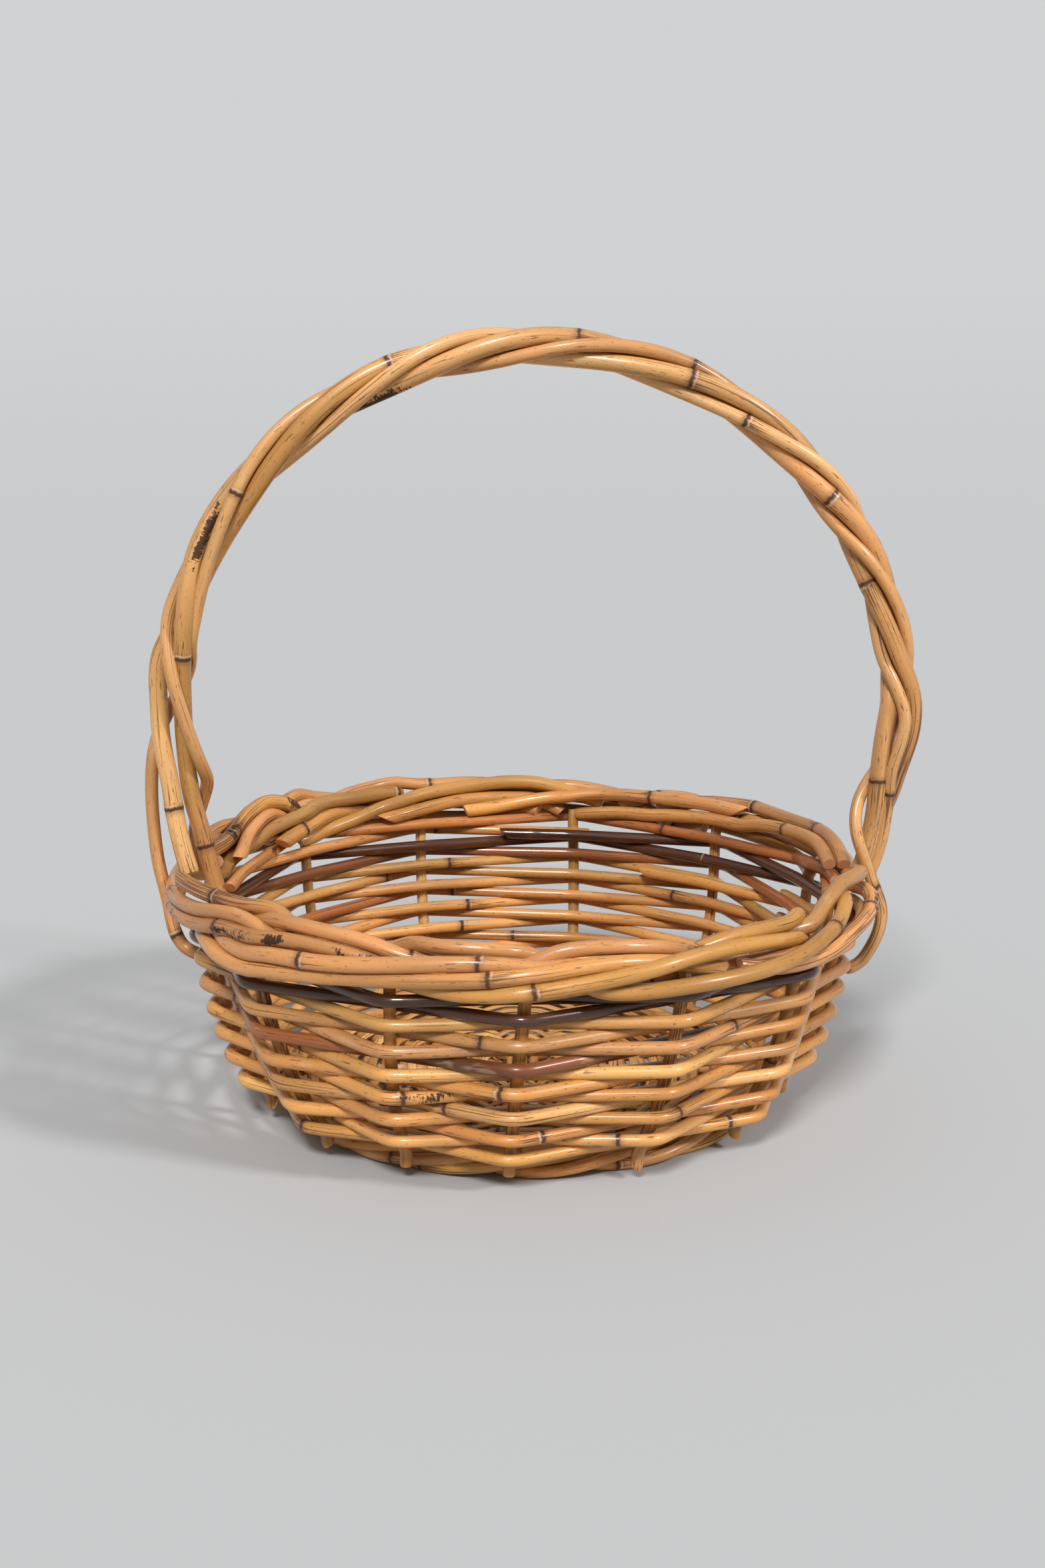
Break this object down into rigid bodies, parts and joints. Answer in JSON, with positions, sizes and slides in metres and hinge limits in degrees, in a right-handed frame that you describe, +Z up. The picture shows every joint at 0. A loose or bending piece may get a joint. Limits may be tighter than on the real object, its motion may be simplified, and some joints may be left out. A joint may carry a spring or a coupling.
{
  "type": "wicker basket",
  "caption": "Round open wicker basket of varnished rattan cane with flared woven sides, a thick rope border and a tall twisted hoop handle.",
  "frame": {"origin": "on the ground, under the middle of the basket's bounding box", "axes": "+Z up; the handle's hoop lies in the X-Z plane; the basket's front faces -Y, and +X is to the right seen from the front"},
  "size_m": [0.4342, 0.397, 0.4318],
  "materials": {
    "stake": "varnished honey-brown cane with darker node rings and cut ends",
    "weaver": "glossy varnished golden cane with fine lengthwise streaks",
    "dark_weaver": "glossy near-black brown cane",
    "border": "varnished peach-gold cane with scorch marks",
    "foot": "varnished golden cane, worn flat underneath",
    "floor": "rough split straw-coloured cane with dark streaks",
    "handle": "varnished golden cane with dark node rings and scorch marks"
  },
  "bodies": {
    "root": {"border_back_1": "border", "border_back_2": "border", "border_back_3": "border", "border_back_4": "border", "border_front_1": "border", "border_front_2": "border", "border_front_3": "border", "border_front_4": "border", "border_hoop_high": "border", "border_hoop_low": "border", "floor_band_1": "floor", "floor_band_2": "floor", "floor_band_3": "floor", "floor_band_4": "floor", "floor_band_5": "floor", "floor_stick_cross_1": "stake", "floor_stick_cross_2": "stake", "floor_stick_cross_3": "stake", "floor_stick_long_1": "stake", "floor_stick_long_2": "stake", "floor_stick_long_3": "stake", "foot_strand_1": "foot", "foot_strand_2": "foot", "foot_strand_3": "foot", "handle_bow": "handle", "handle_lashing": "handle", "handle_rod": "handle", "handle_wrap": "handle", "stake_01": "stake", "stake_02": "stake", "stake_03": "stake", "stake_04": "stake", "stake_05": "stake", "stake_06": "stake", "stake_07": "stake", "stake_08": "stake", "stake_09": "stake", "stake_10": "stake", "stake_11": "stake", "stake_12": "stake", "stake_13": "stake", "weaver_01": "dark_weaver", "weaver_02": "dark_weaver", "weaver_03": "weaver", "weaver_04": "weaver", "weaver_05": "weaver", "weaver_06": "weaver", "weaver_07": "weaver", "weaver_08": "weaver", "weaver_09": "weaver", "weaver_10": "weaver", "weaver_11": "weaver", "weaver_12": "weaver", "weaver_13": "weaver", "weaver_14": "weaver"}
  },
  "joints": []
}
